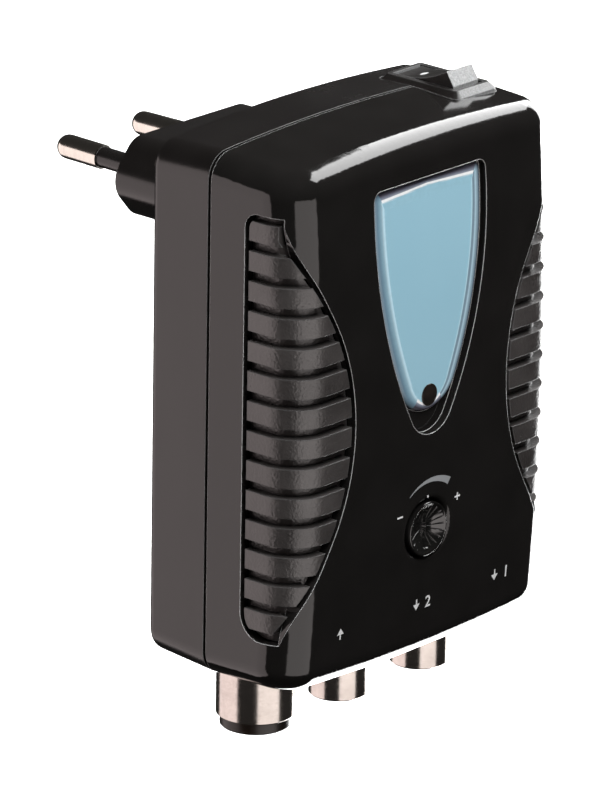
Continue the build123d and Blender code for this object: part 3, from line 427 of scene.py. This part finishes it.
# Materials of single nodes, and of all the other nodes by their slots
special_materials = {"left_pin": pin_nickel, "right_pin": pin_nickel, "rocker": rocker_plastic}
slot_materials = {
    "rear_plastic": rear_plastic,
    "front_plastic": front_plastic,
    "grip_plastic": grip_plastic,
    "lens_plastic": lens_plastic,
    "light_pipe": smoked_window,
    "lamp": lamp_green,
    "knob_plastic": knob_plastic,
    "shaft_plastic": shaft_plastic,
    "control_body": control_plastic,
    "switch_plastic": switch_plastic,
    "nickel": nickel,
    "socket_liner": liner_plastic,
    "insulator": insulator_plastic,
    "contact_brass": brass,
    "board": board_green,
    "tinplate": tinplate,
    "core_steel": core_steel,
    "winding_tape": tape_yellow,
    "bobbin_plastic": bobbin_plastic,
    "capacitor_sleeve": can_sleeve,
    "epoxy": epoxy,
    "zinc_steel": zinc_steel,
}
node_slots = {part["node"]: part["material_slot"] for part in frame["record"]["subparts"]}
for name, node in nodes.items():
    material = special_materials.get(name, slot_materials[node_slots[name]])
    for slot in node.material_slots:
        slot.material = material


# The front's bow, an arc of this radius about this height, and the lift of what is printed on it
CROWN_RADIUS = 0.5
CROWN_Z = -0.0284
FRONT_DEPTH = 0.05217
PRINT_LIFT = 0.00003


def front_y(z, sink=0.0):
    """Where the bowed front lies at one height, or a surface that is sunk under it."""
    return -(FRONT_DEPTH - sink) + (z - CROWN_Z) ** 2 / (2 * CROWN_RADIUS)


def join_rings(shape, rings):
    """Closes the bands between rings of equally many points."""
    for first, second in zip(rings, rings[1:]):
        for place in range(len(first)):
            after = (place + 1) % len(first)
            shape.faces.new((first[place], first[after], second[after], second[place]))


def add_piece(name, shape, material):
    """An object with one material from a mesh under construction, which is freed."""
    mesh = bpy.data.meshes.new(name)
    shape.to_mesh(mesh)
    shape.free()
    mesh.materials.append(material)
    piece = bpy.data.objects.new(name, mesh)
    scene.collection.objects.link(piece)
    return piece


def printed(name, loops, material, body="body"):
    """A flat printed shape on the front, from closed loops of (x, z) points in metres."""
    shape = bmesh.new()
    for loop in loops:
        ring = [shape.verts.new((x, front_y(z) - PRINT_LIFT, z)) for x, z in loop]
        shape.faces.new(ring)
    bmesh.ops.triangulate(shape, faces=shape.faces[:])
    bmesh.ops.recalc_face_normals(shape, faces=shape.faces[:])
    for face in shape.faces:
        if face.normal.y > 0:
            face.normal_flip()
    piece = add_piece(name, shape, material)
    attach(piece, body)


def bar(x, z, width, height):
    """A rectangle about a point."""
    return [
        (x - width / 2, z - height / 2),
        (x + width / 2, z - height / 2),
        (x + width / 2, z + height / 2),
        (x - width / 2, z + height / 2),
    ]


def disc(x, z, radius, count=24):
    """A round dot about a point."""
    turns = [2 * math.pi * step / count for step in range(count)]
    return [(x + radius * math.cos(turn), z + radius * math.sin(turn)) for turn in turns]


def ring_sector(x, z, inner, thin, thick, start, end, count=40):
    """A tapering arc between two angles in degrees: it swells outwards from its thin end to its thick one."""
    outer_points = []
    inner_points = []
    for step in range(count + 1):
        share = step / count
        turn = math.radians(start + (end - start) * share)
        reach = inner + thin + (thick - thin) * share
        outer_points.append((x + reach * math.cos(turn), z + reach * math.sin(turn)))
        inner_points.append((x + inner * math.cos(turn), z + inner * math.sin(turn)))
    return [
        [outer_points[step], outer_points[step + 1], inner_points[step + 1], inner_points[step]]
        for step in range(count)
    ]


# The gain control's centre, and its arc with a sign at each end
GAIN = (0.0, -0.04965)
ARC_RADIUS = 0.00775
ARC_THIN = 0.0001
ARC_THICK = 0.00125
ARC_START = 126
ARC_END = 55
SIGN_LENGTH = 0.0013
SIGN_STROKE = 0.0003
MINUS = (-0.0067, -0.0461)
PLUS = (0.0070, -0.0460)
DOT = (-0.0002, -0.0442)
DOT_RADIUS = 0.00022
arc = ring_sector(*GAIN, ARC_RADIUS, ARC_THIN, ARC_THICK, ARC_START, ARC_END)
printed("gain_scale", arc, grey_ink)
printed("gain_minus", [bar(*MINUS, SIGN_LENGTH, SIGN_STROKE)], pale_ink)
printed(
    "gain_plus",
    [bar(*PLUS, SIGN_LENGTH, SIGN_STROKE), bar(*PLUS, SIGN_STROKE, SIGN_LENGTH)],
    pale_ink,
)

# Plain marks over the connectors: an arrow in, and arrows out with a number
NUMBER_Z = -0.0623
NUMBER_HEIGHT = 0.0019
DIGIT_SHARE = 0.69
STROKE = 0.00028
INPUT_X = -0.0195
OUTPUTS = (("2", 0.0), ("1", 0.0190))
ARROW_SHIFT = 0.0014
NUMBER_SHIFT = 0.0013


def arrow(x, z, height, way):
    """A small arrow about a point: way is 1 for up and -1 for down."""
    half = height / 2
    wing = height * 0.42
    left = x - STROKE / 2
    right = x + STROKE / 2
    tail = z - way * half
    neck = z - way * 0.05 * height
    stem = [(left, tail), (right, tail), (right, z), (left, z)]
    head = [(x - wing, neck), (x + wing, neck), (x, z + way * half)]
    return [stem, head]


printed("gain_dot", [disc(*DOT, DOT_RADIUS)], pale_ink)
printed("input_mark", arrow(INPUT_X, NUMBER_Z, NUMBER_HEIGHT, 1), pale_ink)
for number, x in OUTPUTS:
    mark = arrow(x - ARROW_SHIFT, NUMBER_Z, NUMBER_HEIGHT, -1)
    printed(f"output_{number}_mark", mark, pale_ink)
    text = bpy.data.curves.new(f"number_{number}", "FONT")
    text.body = number
    text.size = NUMBER_HEIGHT / DIGIT_SHARE
    text.align_x = "CENTER"
    text.extrude = 0.00001
    text.offset = 0.00003
    text.resolution_u = 6
    piece = bpy.data.objects.new(f"output_{number}_number", text)
    scene.collection.objects.link(piece)
    slope = (CROWN_Z - NUMBER_Z) / CROWN_RADIUS
    piece.matrix_world = Matrix.Translation(
        (x + NUMBER_SHIFT, front_y(NUMBER_Z) - PRINT_LIFT, NUMBER_Z - NUMBER_HEIGHT / 2)
    ) @ Matrix.Rotation(math.pi / 2 + slope, 4, "X")
    piece.data.materials.append(pale_ink)
    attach(piece, "body")


# Lens with its rounded border, in place of the plain plate
LENS_TOP = 0.0079
LENS_HALF_WIDTH = 0.01278
LENS_SIDE_RADIUS = 0.073
LENS_SIDE_Z = 0.00376
LENS_TIP_Z = -0.0300
LENS_CORNER = 0.0012
TOP_STEPS = 12
CORNER_STEPS = 8
SIDE_STEPS = 60
TIP_STEPS = 24
BORDER_WIDTH = 0.0011
SIDE_EXTRA = 0.0016


def shield_ring(inset, sink):
    """Points round the lens's outline, drawn in by an inset, at a sink under the bowed front."""
    radius = LENS_SIDE_RADIUS - inset
    centre_x = LENS_HALF_WIDTH - LENS_SIDE_RADIUS
    top = LENS_TOP - inset
    tip_z = LENS_TIP_Z + inset
    fall = LENS_SIDE_Z - tip_z
    tip_radius = (radius**2 - centre_x**2 - fall**2) / (2 * (radius - fall))
    tip_centre = tip_z + tip_radius
    corner = max(LENS_CORNER - 0.5 * inset, 0.0002)
    corner_z = top - corner
    corner_x = centre_x + math.sqrt((radius - corner) ** 2 - (corner_z - LENS_SIDE_Z) ** 2)
    corner_end = math.atan2(corner_z - LENS_SIDE_Z, corner_x - centre_x)
    side_end = math.atan2(tip_centre - LENS_SIDE_Z, -centre_x)
    points = [(corner_x * step / TOP_STEPS, top) for step in range(TOP_STEPS)]
    for step in range(CORNER_STEPS + 1):
        turn = math.pi / 2 + (corner_end - math.pi / 2) * step / CORNER_STEPS
        points.append((corner_x + corner * math.cos(turn), corner_z + corner * math.sin(turn)))
    for step in range(1, SIDE_STEPS + 1):
        turn = corner_end + (side_end - corner_end) * step / SIDE_STEPS
        points.append((centre_x + radius * math.cos(turn), LENS_SIDE_Z + radius * math.sin(turn)))
    for step in range(1, TIP_STEPS + 1):
        turn = side_end + (-math.pi / 2 - side_end) * step / TIP_STEPS
        points.append((tip_radius * math.cos(turn), tip_centre + tip_radius * math.sin(turn)))
    left = [(-x, z) for x, z in reversed(points[1:-1])]
    return [(x, front_y(z, sink), z) for x, z in points + left]


def build_lens():
    """The lens as a closed sheet: back, side wall, rounded border and a bowed middle.

    The border is given as pairs of an inset from the outline and a sink under the bowed front.
    """
    border = [
        (0.0, 0.00225),
        (0.0, 0.00130),
        (0.00004, 0.00112),
        (0.00012, 0.00098),
        (0.00024, 0.00086),
        (0.00038, 0.00077),
        (0.00054, 0.00070),
        (0.00070, 0.00065),
        (0.00086, 0.00062),
        (0.00104, 0.000605),
        (0.00130, 0.000595),
        (0.00160, 0.00059),
        (0.00190, 0.00059),
        (0.00215, 0.00059),
        (0.00240, 0.00059),
        (0.00270, 0.00059),
        (0.0030, 0.00059),
    ]
    shape = bmesh.new()
    rings = [[shape.verts.new(point) for point in shield_ring(inset, sink)] for inset, sink in border]
    join_rings(shape, rings)
    count = len(rings[0])
    half = count // 2
    inner = rings[-1]
    flat = TOP_STEPS + 1
    shape.faces.new(inner[: flat + 1] + inner[count - flat :])
    for row in range(flat, half):
        left_a = inner[(count - row) % count]
        left_b = inner[count - row - 1]
        right_a = inner[row]
        right_b = inner[row + 1]
        corners = []
        for vert in (right_a, right_b, left_b, left_a):
            if vert not in corners:
                corners.append(vert)
        if len(corners) > 2:
            shape.faces.new(corners)
    shape.faces.new(rings[0])
    bmesh.ops.recalc_face_normals(shape, faces=shape.faces[:])
    piece = add_piece("lens_bowed", shape, lens_plastic)
    mesh = piece.data
    inset_values = mesh.attributes.new("inset", "FLOAT", "POINT")
    outline = shield_ring(0, 0)
    inner_line = shield_ring(0.0005, 0)
    sides = []
    for start, end in zip(outline, inner_line):
        sides.append((start[0] - end[0]) / math.hypot(start[0] - end[0], start[2] - end[2]))
    for place, (inset, sink) in enumerate(border):
        for step in range(count):
            width = BORDER_WIDTH + SIDE_EXTRA * abs(sides[step])
            inset_values.data[place * count + step].value = min(inset / width, 1.0)
    for face in mesh.polygons:
        face.use_smooth = True
    # Each side of the border takes its own painted-light material
    for material in (lens_border_top_painted_light, lens_border_left_painted_light, lens_border_right_painted_light):
        mesh.materials.append(material)
    for place, face in enumerate(mesh.polygons[: (len(border) - 1) * count]):
        side = sides[place % count]
        face.material_index = 2 if side < -0.5 else 3 if side > 0.5 else 1
    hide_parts("lens")
    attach(piece, "body")


build_lens()

# The knob's face: its rim, dish, rays and screwdriver slot
RIM_WIDTH = 0.00045
HUB_RADIUS = 0.0003
FACE_STEPS = 36
KNOB_POINTS = 360
DISH_EDGE = 0.00015
DISH_DEPTH = 0.0011
RAY_COUNT = 20
RAY_WIDTH = 0.34
RAY_DEPTH = 0.00025
SLOT_HALF_WIDTH = 0.0005
SLOT_HALF_LENGTH = 0.0033
SLOT_DEPTH = 0.0005


def build_knob():
    """The knob as a dished face cut by fine rays and a screwdriver slot, in a rounded rim."""
    corners = [nodes["gain_knob"].matrix_world @ Vector(corner) for corner in nodes["gain_knob"].bound_box]
    front = min(corner.y for corner in corners)
    back = max(corner.y for corner in corners)
    radius = (max(corner.x for corner in corners) - min(corner.x for corner in corners)) / 2
    face_radius = radius - RIM_WIDTH
    circles = [
        (HUB_RADIUS + (face_radius - HUB_RADIUS) * step / FACE_STEPS, None)
        for step in range(FACE_STEPS + 1)
    ]
    circles += [
        (radius - 0.00034, 0.00002),
        (radius - 0.00018, 0.0),
        (radius - 0.00006, 0.00006),
        (radius, 0.0002),
        (radius, back - front),
    ]
    shape = bmesh.new()
    rings = []
    for distance, sink in circles:
        ring = []
        for step in range(KNOB_POINTS):
            turn = 2 * math.pi * step / KNOB_POINTS
            x = distance * math.cos(turn)
            z = distance * math.sin(turn)
            depth = sink
            if sink is None:
                share = distance / face_radius
                depth = DISH_EDGE + DISH_DEPTH * (1 - share**2)
                ray = abs(math.sin(RAY_COUNT / 2 * turn))
                cut = max(0, 1 - ray / RAY_WIDTH)
                depth += RAY_DEPTH * cut * min(1, 3 * share) * min(1, 6 * (1 - share))
                if abs(x) < SLOT_HALF_WIDTH and abs(z) < SLOT_HALF_LENGTH:
                    depth += SLOT_DEPTH
            ring.append(shape.verts.new((GAIN[0] + x, front + depth, GAIN[1] + z)))
        rings.append(ring)
    join_rings(shape, rings)
    shape.faces.new(rings[0])
    shape.faces.new(rings[-1])
    bmesh.ops.recalc_face_normals(shape, faces=shape.faces[:])
    piece = add_piece("gain_knob_rayed", shape, knob_plastic)
    for face in piece.data.polygons:
        face.use_smooth = len(face.vertices) == 4
    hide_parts("gain_knob")
    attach(piece, "gain_control")


build_knob()


def build_window():
    """The smoked lamp window in the lens: a low dome in a rounded rim.

    The profile is given as pairs of a share of the radius and a sink under the bowed front.
    """
    centre_z = -0.0274
    radius = 0.0018
    profile = [
        (1.0, 0.00060),
        (1.0, 0.00048),
        (0.94, 0.00045),
        (0.88, 0.00048),
        (0.70, 0.00040),
        (0.45, 0.00033),
        (0.20, 0.00030),
    ]
    count = 48
    shape = bmesh.new()
    rings = []
    for share, sink in profile:
        ring = []
        for step in range(count):
            turn = 2 * math.pi * step / count
            x = share * radius * math.cos(turn)
            z = centre_z + share * radius * math.sin(turn)
            ring.append(shape.verts.new((x, front_y(z, sink), z)))
        rings.append(ring)
    join_rings(shape, rings)
    shape.faces.new(rings[-1])
    bmesh.ops.recalc_face_normals(shape, faces=shape.faces[:])
    piece = add_piece("lamp_window", shape, smoked_window)
    for face in piece.data.polygons:
        face.use_smooth = True
    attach(piece, "body")


build_window()

# A height above every piece, from which a point is dropped on the rocker
ABOVE_Z = 0.05


def rocker_dot(x, y, half_length, half_width):
    """The pale dot that shows which way the rocker is pressed, laid on its sloping top."""
    rocker = nodes["rocker"]
    surface = bmesh.new()
    surface.from_mesh(rocker.data)
    surface.transform(rocker.matrix_world)
    tree = BVHTree.FromBMesh(surface)
    surface.free()
    shape = bmesh.new()
    ring = []
    for turn_x, turn_y in disc(0, 0, 1):
        start = Vector((x + half_width * turn_x, y + half_length * turn_y, ABOVE_Z))
        hit = tree.ray_cast(start, Vector((0, 0, -1)))
        ring.append(shape.verts.new(hit[0] + PRINT_LIFT * hit[1]))
    shape.faces.new(ring)
    piece = add_piece("rocker_dot", shape, pale_ink)
    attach(piece, "rocker")


rocker_dot(0.0212, -0.0311, 0.00050, 0.00085)

# Camera, at the photograph's viewing angle. Its focal length is fitted in the photograph's pixels
PHOTO_HEIGHT = 800
FOCAL_PIXELS = 8229.7
SENSOR = 36.0
CAMERA_DISTANCE = 1.3
azimuth = math.radians(48.61)
elevation = math.radians(19.18)
roll = math.radians(0.91)
back = Vector(
    (
        -math.sin(azimuth) * math.cos(elevation),
        -math.cos(azimuth) * math.cos(elevation),
        math.sin(elevation),
    )
)
right = Vector((math.cos(azimuth), -math.sin(azimuth), 0))
up = back.cross(right)
rolled_right = right * math.cos(roll) + up * math.sin(roll)
rolled_up = up * math.cos(roll) - right * math.sin(roll)
camera_data = bpy.data.cameras.new("camera")
camera_data.sensor_width = SENSOR
camera_data.lens = FOCAL_PIXELS * SENSOR / PHOTO_HEIGHT
camera_data.clip_end = 20.0
camera = bpy.data.objects.new("camera", camera_data)
scene.collection.objects.link(camera)
target = Vector((-0.00444, -0.0288, -0.03272))
camera.matrix_world = Matrix.Translation(target + back * CAMERA_DISTANCE) @ Matrix(
    (rolled_right, rolled_up, back)
).transposed().to_4x4()
scene.camera = camera

# Pale floor under the part, seamless with the background
FLOOR_Z = -0.30
FLOOR_REACH = 8
floor_mesh = bpy.data.meshes.new("floor")
floor_shape = bmesh.new()
floor_corners = [
    floor_shape.verts.new((x * FLOOR_REACH, y * FLOOR_REACH, FLOOR_Z))
    for x, y in ((-1, -1), (1, -1), (1, 1), (-1, 1))
]
floor_shape.faces.new(floor_corners)
floor_shape.to_mesh(floor_mesh)
floor_shape.free()
floor = bpy.data.objects.new("floor", floor_mesh)
scene.collection.objects.link(floor)
floor_mat, floor_tree, floor_shader, floor_coords = new_material("floor_pale")
floor_cloud = noise(floor_tree, floor_coords, 2.0)
floor_tone = blend_colours(floor_tree, floor_cloud, (0.93, 0.93, 0.93), (0.95, 0.95, 0.95))
floor_tree.links.new(floor_tone, floor_shader.inputs["Base Color"])
floor_tree.links.new(floor_tone, floor_shader.inputs["Emission Color"])
floor_shader.inputs["Emission Strength"].default_value = 1.0
floor_shader.inputs["Roughness"].default_value = 0.9
floor.data.materials.append(floor_mat)
floor.visible_glossy = False
floor.visible_diffuse = False

# Studio: a white room for the camera, a dark one for reflections and light, and soft boxes
world = bpy.data.worlds.new("studio")
scene.world = world
world.use_nodes = True
world_tree = world.node_tree
room = world_tree.nodes["Background"]
room.inputs["Color"].default_value = (1.0, 1.0, 1.0, 1)
room.inputs["Strength"].default_value = 1.0
flags = world_tree.nodes.new("ShaderNodeBackground")
flags.inputs["Color"].default_value = (1.0, 0.95, 0.92, 1)
flags.inputs["Strength"].default_value = 0.03
ray = world_tree.nodes.new("ShaderNodeLightPath")
chooser = world_tree.nodes.new("ShaderNodeMixShader")
world_tree.links.new(ray.outputs["Is Camera Ray"], chooser.inputs["Fac"])
world_tree.links.new(flags.outputs["Background"], chooser.inputs[1])
world_tree.links.new(room.outputs["Background"], chooser.inputs[2])
world_tree.links.new(chooser.outputs["Shader"], world_tree.nodes["World Output"].inputs["Surface"])

# The point that every soft box faces
CENTRE = Vector((0.0, -0.03, -0.03))


def soft_box(name, start, end, low, high, brightness, distance=1.6, tint=(1, 1, 1), roll=0, mirrored=True):
    """A soft box seen from the part between two compass angles and two heights, all in degrees.

    The angles are counted from +X towards +Y. The brightness is the radiance of its face. The roll,
    in degrees, turns it in its own plane. A box that isn't mirrored lights the part and shows in no
    sharp reflection.
    """
    turn = math.radians((start + end) / 2)
    tilt = math.radians((low + high) / 2)
    away = Vector((math.cos(turn) * math.cos(tilt), math.sin(turn) * math.cos(tilt), math.sin(tilt)))
    width = 2 * distance * math.tan(math.radians(end - start) / 2) * math.cos(tilt)
    height = 2 * distance * math.tan(math.radians(high - low) / 2)
    data = bpy.data.lights.new(name, "AREA")
    data.shape = "RECTANGLE"
    data.size = width
    data.size_y = height
    data.energy = brightness * math.pi * width * height
    data.color = tint
    box = bpy.data.objects.new(name, data)
    scene.collection.objects.link(box)
    level = Vector((-math.sin(turn), math.cos(turn), 0))
    level.rotate(Quaternion(away, math.radians(roll)))
    upright = away.cross(level)
    box.matrix_world = Matrix.Translation(CENTRE + away * distance) @ Matrix(
        (level, upright, away)
    ).transposed().to_4x4()
    box.visible_glossy = mirrored


soft_box("left_box", 96, 166, -50, 12, 1.5, tint=(1.0, 0.87, 0.86))
soft_box("strip_box", 228, 292, -42, -2, 1.6, tint=(1.0, 0.93, 0.91))
soft_box("upper_box", -38, 34, 35, 54, 9.0, roll=-24)
soft_box("corner_box", 2, 26, -16, 32, 7.0)
soft_box("right_box", -4, 46, -55, -10, 10.0)
soft_box("fill_box", 222, 262, 42, 78, 17.0, tint=(0.97, 0.99, 1.0), mirrored=False)

scene.view_settings.view_transform = "Standard"
